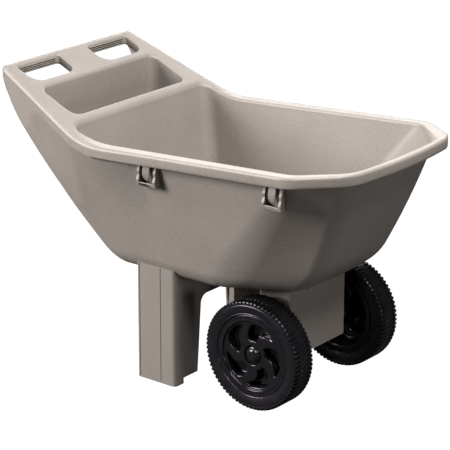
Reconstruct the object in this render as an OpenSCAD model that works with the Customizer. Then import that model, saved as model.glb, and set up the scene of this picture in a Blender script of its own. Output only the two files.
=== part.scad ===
// Garden cart: a one-piece moulded tub with a tool tray and a hand-hold deck,
// carried by a two-legged rear stand and by an axle bracket with two wheels.
// +X points to the nose, +Z is up, and the ground is z = 0. The origin is on
// the ground under the middle of the cart. "right" is -Y, seen by a person who
// stands at the handle.

/* [Tub] */
// Length over the rim, handle end to nose
overall_l = 990; // [960:1:1020]
// Width over the rim lip
rim_w = 550; // [530:1:570]
// Width at the handle end
handle_w = 450; // [430:1:460]
// Height of the flat bottom above the ground
bottom_z = 262; // [255:1:270]
// Wall thickness of the tub
wall = 4; // [3.5:0.5:5]
// Height of the rim at its lowest point
valley_z = 555; // [550:1:562]
// Rise of the rim towards the nose, per mm
nose_rise = 0.061; // [0.05:0.001:0.07]
// Rise of the deck towards the handle, per mm
handle_rise = 0.436; // [0.42:0.001:0.45]
// Depth of the rolled rim lip
lip_h = 25; // [22:1:28]
// Rounding between the walls and the bottom
bottom_r = 40; // [34:1:44]

/* [Tool tray and hand holes] */
// Half width of the tray opening
tray_half_w = 202; // [195:1:204]
// Level of the tray's narrow floor
tray_floor_z = 338; // [332:1:350]
// Inner edge of a hand hole, from the middle plane
hand_in = 50; // [46:1:56]
// Outer edge of a hand hole, from the middle plane
hand_out = 192; // [186:1:194]

/* [Wheels] */
// Wheel diameter
wheel_d = 254; // [250:1:258]
// Width of a tyre
tyre_w = 64; // [60:1:66]
// Distance between the outer faces of the two tyres
wheels_w = 394; // [390:1:398]
// Place of the axle along X
axle_x = 219; // [215:1:223]
// Diameter of the steel axle
axle_d = 12.7; // [12:0.1:13]
// Radial clearance of a wheel bush on the axle
bush_gap = 0.05; // [0.03:0.01:0.08]
// Number of tread bars in one row
tread_bars = 76; // [60:2:84]

/* [Stand and axle bracket] */
// Length of a stand leg along X
leg_l = 110; // [104:1:114]
// Rear face of the stand
leg_x = -99; // [-102:1:-96]
// Half width over the two legs
leg_half_w = 207; // [205:0.5:208]
// Length of the axle bracket along X
bracket_l = 84; // [80:1:86]
// Half width of the axle bracket
bracket_half_w = 106; // [104:1:107]
// Lowest edge of the axle bracket
bracket_z = 100; // [96:1:104]

/* [Hidden] */
eps = 0.01;
gap = 0.3;                    // between pieces that only rest on each other
valley_x = -200;              // where the two straight runs of the deck meet
valley_r = 250;
wheel_r = wheel_d / 2;
axle_r = axle_d / 2;
plate_t = 4.5;                // walls of the stand and the bracket
bolt_r = 3;
bolt_hole_r = 3.3;
head_r = 7.5;
tyre_y = wheels_w / 2 - tyre_w;   // inner face of a tyre
tyre_in_r = 95;
rim_lip_r = 82.5;
hub_r = 22;
bush_r = 11;
spacer_y = bracket_half_w + gap;
recess_z = tyre_w - 16;            // floor of the hub recess
bush_l = recess_z - 0.2;
clip_w = 50;
clip_h = 58;
clip_d = 19;
rear_clip_x = -29;
front_clip_x = 317;
stand_bolts_xy = [for (x = [-76, -12], y = [-70, 70]) [x, y]];
bracket_bolts_xy = [for (x = [-24, 24], y = [-78, 78]) [axle_x + x, y]];

taupe = [0.56, 0.52, 0.47];
black = [0.10, 0.10, 0.11];
steel = [0.70, 0.70, 0.72];

function mix(a, b, t) = a + (b - a) * t;
function rise(z) = (z - 285) / 275;            // 0 at the bottom edge, 1 at the rim
function deck_z(x) = valley_z + (x > valley_x ? nose_rise : -handle_rise) * (x - valley_x);

// ---------- outline of the tub at height z ----------

// How far a rounded bottom edge pulls the outline in at height z
function bottom_inset(z, r) = let (h = z - bottom_z)
  h >= r ? 0 : r - sqrt(r * r - (r - h) * (r - h));

// Bucket: straight sides, a slanted facet at each front corner, a bowed nose
function side_y(z) = 207 + 36 * rise(z);
function facet_x(z) = mix(131, 352, (z - bottom_z) / 298);
function nose_x(z) = let (h = z - 302) 350 + 0.53 * h - 0.0004 * h * h
  - bottom_inset(z, 2 * bottom_r) + bottom_inset(z, bottom_r);
function nose_y(z) = mix(122, 160, (z - bottom_z) / 298);
function bucket_half(z, rear) = [[rear, side_y(z)], [facet_x(z), side_y(z)],
  [nose_x(z) - 9, nose_y(z)], [nose_x(z) - 2.5, nose_y(z) / 2], [nose_x(z), 0]];

// Rear shell under the handle and the tray: bulged back panel, flared sides
function back_x(z) = let (s = (661 - z) / 376)
  -overall_l / 2 + 1 + 304 * s - 104 * s * (1 - s);
function back_y(z) = 207 + 17 * (z - 285) / 376;
function flank_x(z) = max(-240, back_x(z) + 60);
function flank_y(z) = 207 + 61 * rise(z);
function shell_y(x, z) = mix(flank_y(z), side_y(z), (x + 240) / 260);
function shell_half(z) = [[back_x(z), back_y(z)], [flank_x(z), shell_y(flank_x(z), z)],
  [120, shell_y(120, z)]];

module both_halves(h) {
  n = len(h) - 1;
  polygon(concat(h, [for (i = [n : -1 : 0]) [h[i][0], -h[i][1]]]));
}

module rounded(r) {
  offset(r = r, $fn = 40) offset(delta = -r) children();
}

module slice(h, z, inset) {
  translate([0, 0, z]) linear_extrude(eps) rounded(46) offset(delta = -inset) both_halves(h);
}

outer_levels = concat([for (a = [90 : -22.5 : 0]) bottom_z + bottom_r * (1 - sin(a))],
  [322, 345, 385, 425, 465, 505, 545, 585, 625, 660, 700]);

module outer_body() {
  for (i = [0 : len(outer_levels) - 2]) {
    z0 = outer_levels[i];
    z1 = outer_levels[i + 1];
    hull() {
      slice(shell_half(z0), z0, bottom_inset(z0, bottom_r));
      slice(shell_half(z1), z1, bottom_inset(z1, bottom_r));
    }
    if (z0 < 620)
      hull() {
        slice(bucket_half(z0, flank_x(z0)), z0, bottom_inset(z0, bottom_r));
        slice(bucket_half(z1, flank_x(z1)), z1, bottom_inset(z1, bottom_r));
      }
  }
}

// ---------- side profile of the deck ----------

// Region under the deck surface lowered by drop, in X and Z
module under_deck(drop) {
  reach = overall_l / 2 + 30;
  translate([0, -drop]) offset(r = -valley_r, $fn = 96) offset(delta = valley_r)
    polygon([[-reach, 0], [-reach, deck_z(-reach)], [valley_x, valley_z],
      [reach, deck_z(reach)], [reach, 0]]);
}

module along_y(half) {
  rotate([90, 0, 0]) linear_extrude(2 * half, center = true) children();
}

// ---------- rim ----------

module rim_plan() {
  half = overall_l / 2;
  bow_r = 1040;
  intersection() {
    union() {
      rounded(60) polygon([[-200, rim_w / 2], [368, rim_w / 2], [half + 2, 176],
        [half + 2, -176], [368, -rim_w / 2], [-200, -rim_w / 2]]);
      rounded(14) polygon([[-half, handle_w / 2], [-236, rim_w / 2 - 4], [-170, rim_w / 2], [60, rim_w / 2],
        [60, -rim_w / 2], [-170, -rim_w / 2], [-236, 4 - rim_w / 2], [-half, -handle_w / 2]]);
    }
    translate([half - bow_r, 0]) circle(r = bow_r, $fn = 240);
  }
}

// The rim band between two levels under the deck surface
module rim_band(inset, high, low) {
  intersection() {
    linear_extrude(800) offset(delta = -inset) rim_plan();
    along_y(rim_w) difference() {
      under_deck(high);
      under_deck(low);
    }
  }
}

// ---------- bucket, tray and hand recess ----------

function divider_x(z) = -264 + 0.21 * (582 - z);
module ahead_of(x) { translate([x, -400]) square([900, 800]); }

module bucket_slice(z) {
  translate([0, 0, z]) linear_extrude(eps) rounded(42) intersection() {
    offset(delta = -wall - bottom_inset(max(z - wall, bottom_z), bottom_r))
      both_halves(bucket_half(z, back_x(z)));
    ahead_of(divider_x(z));
  }
}

bucket_levels = concat([for (a = [90 : -22.5 : 22.5]) bottom_z + wall + bottom_r * (1 - sin(a))],
  [322, 345, 385, 425, 465, 505, 545, 585, 625]);

module bucket() {
  for (i = [0 : len(bucket_levels) - 2])
    hull() {
      bucket_slice(bucket_levels[i]);
      bucket_slice(bucket_levels[i + 1]);
    }
}

function tray_back(z) = max(-394 + 0.03 * (640 - z), back_x(z) + wall + 1);
function tray_front(z) = z > deck_z(-287) - 26 ? -287 : divider_x(z) - 6;

module tray_slice(z) {
  r = min(22, (tray_front(z) - tray_back(z)) / 2 - 1);
  half = tray_half_w - 0.05 * (640 - z);
  translate([tray_back(z), -half, z]) linear_extrude(eps)
    rounded(r) square([tray_front(z) - tray_back(z), 2 * half]);
}

tray_levels = [tray_floor_z, 355, 380, 420, 470, 520, deck_z(-287) - 40, deck_z(-287) - 24, 600, 660];

module tray() {
  for (i = [0 : len(tray_levels) - 2])
    hull() {
      tray_slice(tray_levels[i]);
      tray_slice(tray_levels[i + 1]);
    }
}

module hand_hole_plan(side, grow) {
  offset(delta = grow) union() {
    translate([-474, side > 0 ? hand_in : -hand_out]) rounded(6) square([40, hand_out - hand_in]);
    translate([-474, side > 0 ? hand_in : -hand_out]) rounded(29) square([60, hand_out - hand_in]);
  }
}

// Open space for the fingers under the hand holes, behind the tray
module hand_recess() {
  cheek = handle_w / 2 - 10;
  difference() {
    along_y(cheek) intersection() {
      under_deck(wall);
      polygon([[-600, 200], [-600, 760], [-398, 760], [-402, 490]]);
    }
    difference() {                      // the grip bar
      translate([-overall_l / 2 - 1, -cheek - 1, 600]) cube([21, 2 * cheek + 2, 100]);
      along_y(cheek + 2) under_deck(26);
    }
    for (side = [-1, 1])                // skirts round the hand holes
      intersection() {
        translate([0, 0, 500]) linear_extrude(250) hand_hole_plan(side, 3.5);
        along_y(300) difference() {
          under_deck(0);
          under_deck(20);
        }
      }
  }
}

module grip_ribs(side) {
  for (k = [0 : 3])
    translate([-474, side * (hand_in + hand_out) / 2, deck_z(-474) - 6 - 4.5 * k])
      rotate([90, 0, 0]) cylinder(r = 1.2, h = hand_out - hand_in - 20, center = true, $fn = 12);
}

module clip_screw_holes() {
  for (c = clip_seats) clip_place(c) for (u = [-16.5, 16.5])
    translate([u, -3.8, -12]) rotate([-90, 0, 0]) cylinder(r = 2.2, h = 6, $fn = 20);
}

module tub() color(taupe) {
  difference() {
    union() {
      intersection() {
        outer_body();
        along_y(rim_w) under_deck(0);
        linear_extrude(800) rim_plan();
      }
      difference() {
        rim_band(0, 0, lip_h);
        intersection() {                // hollow under the lip, ahead of the tray
          rim_band(wall, wall, lip_h + 2);
          translate([-190, -400, 0]) cube([800, 800, 800]);
        }
      }
    }
    bucket();
    tray();
    hand_recess();
    for (side = [-1, 1])
      translate([0, 0, 500]) linear_extrude(250) hand_hole_plan(side, 0);
    for (p = concat(stand_bolts_xy, bracket_bolts_xy))
      translate([p[0], p[1], bottom_z - 1]) cylinder(r = bolt_hole_r, h = wall + 2, $fn = 24);
    clip_screw_holes();
  }
  for (side = [-1, 1]) grip_ribs(side);
}

// ---------- rear stand ----------

// Cross-section of the tub over the stand, in Y and Z, with clearance
module tub_section() {
  half = 207 - gap;
  offset(delta = gap) hull() {
    for (s = [-1, 1]) {
      translate([s * (half - bottom_r + 1), bottom_z + bottom_r]) circle(r = bottom_r, $fn = 96);
      translate([s * (half + 20), bottom_z + 190]) circle(r = 1, $fn = 16);
    }
  }
}

module arch_opening() {
  hull() {
    translate([-126.5, -1]) square([253, 1]);
    for (s = [-1, 1]) translate([s * 91, 176]) circle(r = 22, $fn = 48);
  }
}

module leg_plan(inset) {
  translate([inset, inset]) rounded(max(11 - inset, 2)) square([leg_l - 2 * inset, 2 * leg_half_w - 2 * inset]);
}

module rear_stand() color(taupe) {
  difference() {
    intersection() {
      translate([leg_x, -leg_half_w, 0]) linear_extrude(bottom_z + 22) leg_plan(0);
      rotate([90, 0, 90]) translate([0, 0, leg_x - 1]) linear_extrude(leg_l + 2) difference() {
        translate([-leg_half_w - 1, 0]) square([2 * leg_half_w + 2, bottom_z + 30]);
        tub_section();
        arch_opening();
      }
    }
    for (s = [-1, 1]) {
      // inside of a leg, open towards the other leg and at the bottom
      translate([leg_x + plate_t, s > 0 ? 60 : -leg_half_w + plate_t, -1])
        cube([leg_l - 2 * plate_t, leg_half_w - plate_t - 60, bottom_z - 2 * plate_t + 1]);
      // the inner edge of the front wall ends above the ground
      translate([leg_x + 30, s > 0 ? 100 : -176, -1]) cube([leg_l, 76, 15]);
      // vertical grooves in the outer face
      for (x = [5.5, 67])
        translate([leg_x + x, s > 0 ? leg_half_w - 1 : -leg_half_w - 1, 6]) cube([1.6, 2, bottom_z]);
    }
    translate([leg_x + plate_t, -61, 100]) cube([leg_l - 2 * plate_t, 122, bottom_z - 100 - 2 * plate_t + 1]);
    for (p = stand_bolts_xy)
      translate([p[0], p[1], bottom_z - 20]) cylinder(r = bolt_hole_r, h = 30, $fn = 32);
  }
  for (s = [-1, 1]) {
    // foot plate under the outer wall
    translate([leg_x + plate_t - 1, s > 0 ? leg_half_w - 30 : -leg_half_w + 1, 0])
      cube([leg_l - 2 * plate_t + 2, 29, 5]);
    // flange along the inner rear edge
    translate([leg_x + 0.5, s > 0 ? 122 : -126, 0]) cube([22, 4, 180]);
  }
}

// ---------- axle bracket ----------

module bracket_plan(inset) {
  translate([axle_x - bracket_l / 2 + inset, -bracket_half_w + inset])
    rounded(8 - inset) square([bracket_l - 2 * inset, 2 * bracket_half_w - 2 * inset]);
}

module axle_bracket() color(taupe) {
  h = bottom_z - gap - bracket_z;
  difference() {
    translate([0, 0, bracket_z]) linear_extrude(h) bracket_plan(0);
    translate([0, 0, bracket_z - 1]) linear_extrude(h + 1 - plate_t) bracket_plan(plate_t);
    translate([axle_x, 0, wheel_r]) rotate([90, 0, 0])
      cylinder(r = axle_r, h = 2 * bracket_half_w + 2, center = true, $fn = 64);
    for (p = bracket_bolts_xy)
      translate([p[0], p[1], bottom_z - 20]) cylinder(r = bolt_hole_r, h = 30, $fn = 32);
    for (y = [-39, 39])             // two slots at the top of the front panel
      translate([axle_x + bracket_l / 2 - 1.5, y - 1, bottom_z - 14]) cube([3, 2, 20]);
  }
}

// ---------- axle, wheels and their fittings ----------

// Puts a shape made about +Z, with z = 0 at the wheel's inner face, on a side
module on_side(side) {
  translate([axle_x, side * tyre_y, wheel_r]) rotate([-90 * side, 0, 0]) children();
}

module axle() color(steel) {
  translate([axle_x, 0, wheel_r]) rotate([90, 0, 0])
    cylinder(r = axle_r, h = 2 * (tyre_y + recess_z + 7.5), center = true, $fn = 64);
}

module tyre(side) color(black) on_side(side) {
  groove = 4;
  band = 22;                            // length of a slot, in from the tyre's face
  difference() {
    rotate_extrude($fn = 128) polygon([[tyre_in_r, 2], [wheel_r - 9, 0], [wheel_r - 2.5, 1.2], [wheel_r, 5],
      [wheel_r, tyre_w - 5], [wheel_r - 2.5, tyre_w - 1.2], [wheel_r - 9, tyre_w], [tyre_in_r, tyre_w - 2]]);
    for (row = [0, 1], i = [0 : tread_bars - 1])
      rotate([0, 0, (i + row / 2) * 360 / tread_bars])
        translate([wheel_r - groove, -2.2, row == 0 ? -1 : tyre_w - band])
          cube([groove + 2, 4.4, band + 1]);
  }
}

// Outline of one curved wheel pocket, a hooked leaf with its tip at angle 0
module pocket_plan(grow) {
  offset(r = grow + 3.5, $fn = 24) offset(delta = -3.5) difference() {
    intersection() {
      translate([46, 20]) circle(r = 33, $fn = 64);
      circle(r = 78, $fn = 96);
    }
    circle(r = 35, $fn = 64);
    translate([42, -3]) circle(r = 24, $fn = 64);
  }
}

module rim(side) color(black) on_side(side) {
  face = tyre_w - 8;
  pocket_d = 26;
  pocket_turn = 115.5;
  difference() {
    union() {
      // band that carries the tyre, with a bevelled outer edge
      rotate_extrude($fn = 128) polygon([[rim_lip_r - 4, 4], [tyre_in_r - gap, 4],
        [tyre_in_r - gap, tyre_w - 3], [rim_lip_r, tyre_w - 3], [rim_lip_r - 4, face]]);
      translate([0, 0, face - 4]) cylinder(r = rim_lip_r - 2, h = 4, $fn = 128);
      translate([0, 0, 0.5]) cylinder(r = hub_r - 1, h = recess_z - 1, $fn = 64);
      translate([0, 0, recess_z - 4]) cylinder(r = hub_r + 4, h = face - recess_z + 4, $fn = 64);
      for (i = [0 : 4]) rotate([0, 0, pocket_turn + 72 * i])
        translate([0, 0, face - pocket_d]) linear_extrude(pocket_d - 1) pocket_plan(2.6);
    }
    for (i = [0 : 4]) rotate([0, 0, pocket_turn + 72 * i])
      translate([0, 0, face - pocket_d + 3]) linear_extrude(pocket_d) pocket_plan(0);
    translate([0, 0, -1]) cylinder(r = bush_r, h = tyre_w, $fn = 64);
    translate([0, 0, recess_z]) cylinder(r = hub_r + 0.5, h = 20, $fn = 64);
  }
}

module hub_bush(side) color([0.85, 0.85, 0.82]) on_side(side) difference() {
  translate([0, 0, 0.5]) cylinder(r = bush_r - 0.02, h = bush_l, $fn = 64);
  translate([0, 0, -1]) cylinder(r = axle_r + bush_gap, h = bush_l + 4, $fn = 64);
}

module ring(outer, inner, z0, z1) {
  translate([0, 0, z0]) difference() {
    cylinder(r = outer, h = z1 - z0, $fn = 48);
    translate([0, 0, -1]) cylinder(r = inner, h = z1 - z0 + 2, $fn = 48);
  }
}

module spacer(side) color(black) on_side(side)
  ring(bush_r, axle_r + 0.15, spacer_y - tyre_y, -2.6);

module washers(side) color(steel) on_side(side) {
  ring(15, axle_r + 0.15, -2.3, -0.3);
  ring(15, axle_r + 0.15, recess_z + 0.6, recess_z + 2.2);
}

module push_nut(side) color(steel) on_side(side) translate([0, 0, recess_z + 2.4]) {
  difference() {
    union() {
      cylinder(r = 11, h = 1.2, $fn = 48);
      translate([0, 0, 1.1]) cylinder(r1 = 11, r2 = 7.6, h = 3, $fn = 48);
    }
    translate([0, 0, -2]) cylinder(r = axle_r, h = 9, $fn = 48);
    translate([0, 0, -1]) cylinder(r1 = 11, r2 = 6.5, h = 3.4, $fn = 48);
  }
}

// Domed cap that stands in the hub recess, with a ring of clear space round it
module hub_cap(side) color(black) on_side(side) rotate_extrude($fn = 64)
  translate([0, recess_z]) polygon(concat([[0, 9.5], [17, 8], [17, 0.02], [20, 0.02]],
    [for (a = [0 : 15 : 90]) [20 * cos(a), 5.5 + 7.5 * sin(a)]]));

// ---------- tool clips ----------

// Each seat is [x, height of the clip's top, side, plan turn, wall slope]
clip_seats = [for (side = [-1, 1])
  each [[rear_clip_x, 546, side, 4.6, 0.148], [front_clip_x, 563, side, 0, 0.131]]];
function seat_y(c) = c[0] < 20 ? shell_y(c[0], c[1]) + 1.2 : side_y(c[1]) + 0.5;

// Local frame of a clip: X along the wall, +Y outwards, z = 0 at its top
module clip_place(c) {
  translate([c[0], c[2] * seat_y(c), c[1]]) mirror([0, c[2] > 0 ? 0 : 1, 0])
    rotate([0, 0, -c[3]]) rotate([atan(-c[4]), 0, 0]) children();
}

// A profile in Y and Z, drawn out along X between two places
module clip_profile(x0, x1) {
  rotate([90, 0, 90]) translate([0, 0, x0]) linear_extrude(x1 - x0) children();
}

module clip(c) color(taupe) clip_place(c) {
  t = 2.6;
  w = clip_w / 2;
  difference() {
    translate([-w, 0, -clip_h]) cube([clip_w, t, clip_h]);
    for (u = [-16.5, 16.5])
      translate([u, -1, -12]) rotate([-90, 0, 0]) cylinder(r = 2.2, h = 5, $fn = 20);
  }
  // side arms with a step, joined by a bar at the bottom
  for (x = [-w, w - 4.5]) clip_profile(x, x + 4.5)
    polygon([[0, 0], [8, 0], [9.5, -16], [clip_d, -25], [clip_d, 2 - clip_h], [clip_d - 2, -clip_h], [0, -clip_h]]);
  clip_profile(-w + 1, w - 1) polygon([[0.5, -clip_h], [clip_d - 2, -clip_h], [clip_d, 2 - clip_h],
    [clip_d, 10 - clip_h], [clip_d - 3, 10 - clip_h], [clip_d - 3, 3 - clip_h], [0.5, 3 - clip_h]]);
  // spring tongue: hangs from the top and stands off the back
  intersection() {
    clip_profile(-14, 14) polygon([[t - 0.5, 0], [t + 5, 0], [clip_d - 3, -28], [clip_d - 3, -38],
      [clip_d - 7, -45], [clip_d - 10, -45], [clip_d - 6, -37], [clip_d - 6, -29], [t + 1, -5], [t - 0.5, -5]]);
    rotate([-90, 0, 0]) linear_extrude(clip_d) polygon([[-9.8, -1], [-9.8, 27], [-5, 42], [-3, 45],
      [3, 45], [5, 42], [9.8, 27], [9.8, -1]]);
  }
}

module clip_screws() color(steel) for (c = clip_seats) clip_place(c) for (u = [-16.5, 16.5])
  translate([u, 0, -12]) rotate([-90, 0, 0]) {
    translate([0, 0, -3.6]) cylinder(r = 1.9, h = 6.6, $fn = 24);
    translate([0, 0, 2.8]) intersection() {
      cylinder(r = 3.6, h = 2.2, $fn = 32);
      translate([0, 0, -3.2]) sphere(r = 5.2, $fn = 32);
    }
  }

// ---------- bolts and nuts through the tub's bottom ----------

module bolts(places) color(steel) for (p = places) translate([p[0], p[1], 0]) {
  translate([0, 0, bottom_z - 14]) cylinder(r = bolt_r, h = 14 + wall + gap + 1, $fn = 32);
  translate([0, 0, bottom_z + wall + gap]) intersection() {
    cylinder(r = head_r, h = 4, $fn = 48);
    translate([0, 0, 4 - 11]) sphere(r = 11, $fn = 48);
  }
}

module nuts(places, top) color(steel) for (p = places) translate([p[0], p[1], top - 5]) difference() {
  cylinder(r = 5.8, h = 5, $fn = 6);
  translate([0, 0, -1]) cylinder(r = bolt_r + 0.02, h = 7, $fn = 32);
}

module stand_bolts() bolts(stand_bolts_xy);
module bracket_bolts() bolts(bracket_bolts_xy);
module stand_nuts() nuts(stand_bolts_xy, bottom_z - 2 * plate_t - gap);
module bracket_nuts() nuts(bracket_bolts_xy, bottom_z - plate_t - 2 * gap);

tub();
rear_stand();
axle_bracket();
axle();
rim(-1);  // right_rim
rim(1);  // left_rim
tyre(-1);  // right_tyre
tyre(1);  // left_tyre
hub_bush(-1);  // right_hub_bush
hub_bush(1);  // left_hub_bush
spacer(-1);  // right_spacer
spacer(1);  // left_spacer
washers(-1);  // right_washers
washers(1);  // left_washers
push_nut(-1);  // right_push_nut
push_nut(1);  // left_push_nut
hub_cap(-1);  // right_hub_cap
hub_cap(1);  // left_hub_cap
clip(clip_seats[0]);  // right_rear_clip
clip(clip_seats[1]);  // right_front_clip
clip(clip_seats[2]);  // left_rear_clip
clip(clip_seats[3]);  // left_front_clip
clip_screws();
stand_bolts();
stand_nuts();
bracket_bolts();
bracket_nuts();
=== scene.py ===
import math

import bmesh
import bpy
import numpy as np
from mathutils import Matrix, Vector
from mathutils.geometry import delaunay_2d_cdt


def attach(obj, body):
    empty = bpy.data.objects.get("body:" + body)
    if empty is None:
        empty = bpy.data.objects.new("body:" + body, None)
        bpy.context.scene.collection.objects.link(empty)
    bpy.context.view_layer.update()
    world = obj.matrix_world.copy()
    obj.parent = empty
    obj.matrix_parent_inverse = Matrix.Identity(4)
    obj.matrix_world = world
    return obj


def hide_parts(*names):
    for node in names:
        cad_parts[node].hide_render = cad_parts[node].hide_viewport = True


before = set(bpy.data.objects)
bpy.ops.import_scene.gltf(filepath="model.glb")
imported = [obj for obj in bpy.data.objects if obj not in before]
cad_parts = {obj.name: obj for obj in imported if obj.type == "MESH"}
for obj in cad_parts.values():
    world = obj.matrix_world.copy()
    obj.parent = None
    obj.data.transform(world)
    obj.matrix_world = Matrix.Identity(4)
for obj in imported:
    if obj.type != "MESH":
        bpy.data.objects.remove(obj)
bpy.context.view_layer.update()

MM = 0.001
pi = math.pi


# ---------------------------------------------------------------- small helpers

def mix(a, b, t):
    return a + (b - a) * t


def step(lo, hi, x):
    t = np.clip((x - lo) / (hi - lo), 0.0, 1.0)
    return t * t * (3 - 2 * t)


def round_max(a, b, r):
    """Intersection of two fields with a rounded edge."""
    u = np.maximum(a + r, 0)
    v = np.maximum(b + r, 0)
    return np.minimum(np.maximum(a, b), -r) + np.sqrt(u * u + v * v)


def round_min(a, b, r):
    return -round_max(-a, -b, r)


def line_field(x, y, x0, y0, x1, y1):
    """Distance outside the line from (x0, y0) to (x1, y1); inside lies towards the middle plane."""
    dx, dy = x1 - x0, y1 - y0
    n = np.sqrt(dx * dx + dy * dy)
    return ((y - y0) * dx - (x - x0) * dy) / n


class Mesh:
    """Collects vertices in millimetres and faces, then becomes one object."""

    def __init__(self):
        self.v = []
        self.f = []

    def add(self, pts):
        start = len(self.v)
        self.v.extend([tuple(float(c) for c in p) for p in pts])
        return list(range(start, len(self.v)))

    def bridge(self, a, b, closed=True):
        n = len(a)
        for i in range(n if closed else n - 1):
            j = (i + 1) % n
            self.f.append((a[i], a[j], b[j], b[i]))

    def loft(self, loops, closed=True):
        rows = [self.add(p) for p in loops]
        for a, b in zip(rows[:-1], rows[1:]):
            self.bridge(a, b, closed)
        return rows

    def cap(self, row, centre):
        c = self.add([centre])[0]
        for i in range(len(row)):
            self.f.append((row[i], row[(i + 1) % len(row)], c))

    def build(self, name, weld=0.02, smooth=True, sharp=None, place=None):
        points = [place(*p) for p in self.v] if place else self.v
        mesh = bpy.data.meshes.new(name)
        mesh.from_pydata([(x * MM, y * MM, z * MM) for x, y, z in points], [], self.f)
        bm = bmesh.new()
        bm.from_mesh(mesh)
        if weld:
            bmesh.ops.remove_doubles(bm, verts=bm.verts, dist=weld * MM)
            bmesh.ops.dissolve_degenerate(bm, dist=weld * MM * 0.5, edges=bm.edges)
        bmesh.ops.recalc_face_normals(bm, faces=bm.faces)
        for f in bm.faces:
            f.smooth = smooth
        if sharp:
            for e in bm.edges:
                if len(e.link_faces) == 2 and e.calc_face_angle(0) > math.radians(sharp):
                    e.smooth = False
        bm.to_mesh(mesh)
        bm.free()
        obj = bpy.data.objects.new(name, mesh)
        bpy.context.scene.collection.objects.link(obj)
        return obj


def round_rect(x0, x1, y0, y1, radii, n_arc, n_side, grow=0.0):
    """Points round a rectangle; radii are for the corners (x1,y1), (x0,y1), (x0,y0), (x1,y0)."""
    corners = [(x1, y1, 1, 1, 0), (x0, y1, -1, 1, 90), (x0, y0, -1, -1, 180), (x1, y0, 1, -1, 270)]
    arcs = []
    for (cx, cy, sx, sy, a0), r in zip(corners, radii):
        arcs.append([(cx - sx * r + (r + grow) * math.cos(math.radians(a0 + 90 * k / n_arc)),
                      cy - sy * r + (r + grow) * math.sin(math.radians(a0 + 90 * k / n_arc)))
                     for k in range(n_arc + 1)])
    pts = []
    for i in range(4):
        pts += arcs[i]
        a, b = arcs[i][-1], arcs[(i + 1) % 4][0]
        pts += [(mix(a[0], b[0], k / n_side), mix(a[1], b[1], k / n_side)) for k in range(1, n_side)]
    return np.array(pts)


def inside(points, loop):
    """Even-odd test of points against one closed loop."""
    x, y = points[:, 0], points[:, 1]
    result = np.zeros(len(points), bool)
    for (x0, y0), (x1, y1) in zip(loop, np.roll(loop, -1, axis=0)):
        hit = (y0 > y) != (y1 > y)
        if hit.any():
            with np.errstate(divide="ignore", invalid="ignore"):
                cross = x0 + (y - y0) * (x1 - x0) / (y1 - y0)
            result ^= hit & (x < cross)
    return result


def plate(mesh, outer, holes, height, pitch, margin):
    """Fills the region between loops already in the mesh. outer and holes are lists of (indices, xy)."""
    loops = [outer] + holes
    coords, edges, ids = [], [], []
    for idx, xy in loops:
        s = len(coords)
        coords += [Vector((float(p[0]), float(p[1]))) for p in xy]
        ids += list(idx)
        edges += [(s + i, s + (i + 1) % len(xy)) for i in range(len(xy))]
    lo, hi = outer[1].min(0), outer[1].max(0)
    gx = np.arange(lo[0] + pitch / 2, hi[0], pitch)
    gy = np.arange(lo[1] + pitch / 2, hi[1], pitch)
    g = np.array([(a, b + (pitch / 2 if i % 2 else 0)) for i, a in enumerate(gx) for b in gy])
    keep = inside(g, outer[1])
    for _, xy in holes:
        keep &= ~inside(g, xy)
    g = g[keep]
    for _, xy in loops:
        near = np.full(len(g), 1e9)
        for p in xy[:: max(1, len(xy) // 900)]:
            near = np.minimum(near, np.hypot(g[:, 0] - p[0], g[:, 1] - p[1]))
        g = g[near > margin]
    s = len(coords)
    coords += [Vector((float(p[0]), float(p[1]))) for p in g]
    ids += mesh.add([(p[0], p[1], height(p[0], p[1])) for p in g])
    out = delaunay_2d_cdt(coords, edges, [], 0, 1e-5)
    verts, faces, orig = out[0], out[2], out[3]
    back = [ids[o[0]] if o else None for o in orig]
    centre = np.array([[sum(verts[i][axis] for i in f) / len(f) for axis in (0, 1)] for f in faces])
    ok = inside(centre, outer[1])
    for _, xy in holes:
        ok &= ~inside(centre, xy)
    for f, good in zip(faces, ok):
        if good and all(back[i] is not None for i in f):
            mesh.f.append(tuple(back[i] for i in f))


# ---------------------------------------------------------------- the tub's formulas (millimetres)

BOTTOM, WALL, FILLET, LIP = 262.0, 4.0, 40.0, 25.0
HALF_L, HALF_W = 495.0, 275.0
FOLD_X, FOLD_Z = -200.0, 555.0          # where the deck starts to climb to the grip bar
FLANK_X = -240.0                        # where the flared rear sides are widest


def rise(z):
    return (z - 285) / 275


def deck_z(x):
    """Height of the deck: two straight runs with a wide fillet between them."""
    x = np.asarray(x, float)
    run = x - FOLD_X
    ahead, behind = FOLD_Z + 0.061 * run, FOLD_Z - 0.436 * run
    gap, higher, k = np.abs(ahead - behind), np.maximum(ahead, behind), 30.0
    return np.where(gap < k, higher + (k - gap) ** 2 / (4 * k), higher)


def inset(z, r):
    h = np.clip(z - BOTTOM, 0, r)
    return r - np.sqrt(np.maximum(r * r - (r - h) ** 2, 0))


def side_y(z):
    return 207 + 36 * rise(z)


def flank_y(z):
    return 207 + 61 * rise(z)


def bucket_field(x, y, z):
    y = np.abs(y)
    h = z - 302
    nose_x = 350 + 0.53 * h - 0.0004 * h * h - inset(z, 2 * FILLET) + inset(z, FILLET)
    up = (z - BOTTOM) / 298
    nose_y, facet_x = mix(122, 160, up), mix(131, 352, up)
    side = y - side_y(z)
    facet = line_field(x, y, facet_x, side_y(z), nose_x - 9, nose_y)
    nose = (x - nose_x + 9 * np.minimum(y / nose_y, 1.6) ** 2) * 0.98
    return round_max(round_max(side, facet, mix(24, 18, up)), nose, 24)


def back_x(z):
    s = (661 - z) / 376
    return -494 + 304 * s - 104 * s * (1 - s)


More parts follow.
